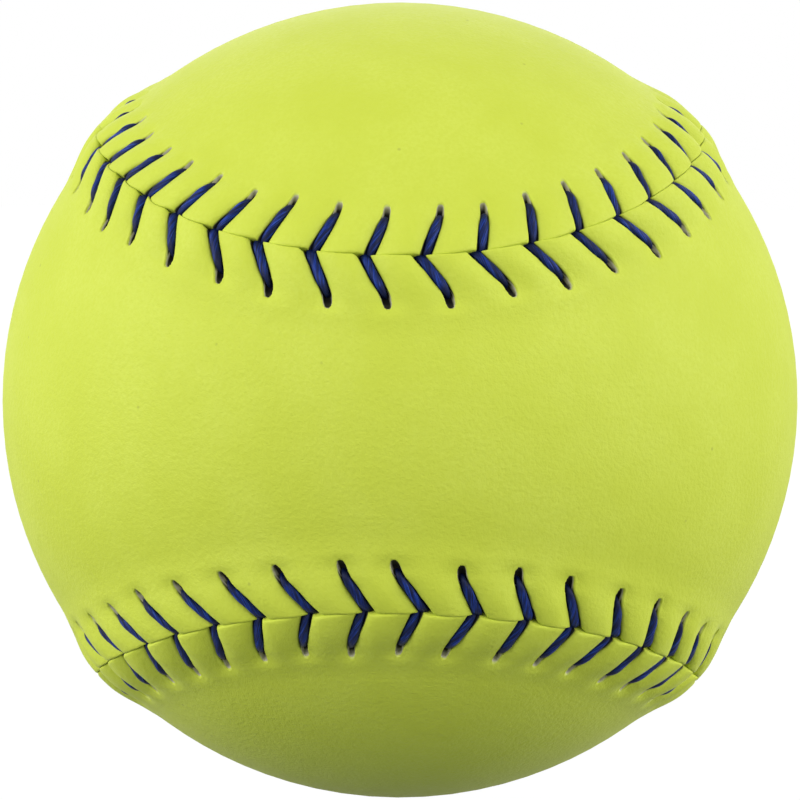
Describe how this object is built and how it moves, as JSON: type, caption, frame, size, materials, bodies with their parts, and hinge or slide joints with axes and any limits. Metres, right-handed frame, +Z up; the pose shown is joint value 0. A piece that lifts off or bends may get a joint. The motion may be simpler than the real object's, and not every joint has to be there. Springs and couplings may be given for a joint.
{
  "type": "softball",
  "caption": "Optic-yellow twelve-inch softball with two figure-eight cover panels joined by raised herringbone lacing in royal blue.",
  "frame": {"origin": "centre of the ball", "axes": "+Z up as in the picture, -Y towards the camera through the waist of panel A; +Y is also the axis about which the four-lobed seam repeats"},
  "size_m": [0.097, 0.097, 0.097],
  "materials": {
    "core": "matte cast polyurethane foam",
    "cement": "dull cured latex cement",
    "cover": "fine-grained optic-yellow composite leather",
    "lacing": "waxed royal-blue thread"
  },
  "bodies": {
    "root": {"core": "core", "cement_coat": "cement", "cover_panel_a": "cover", "cover_panel_b": "cover", "lacing_run_one": "lacing", "lacing_run_two": "lacing"}
  },
  "joints": []
}
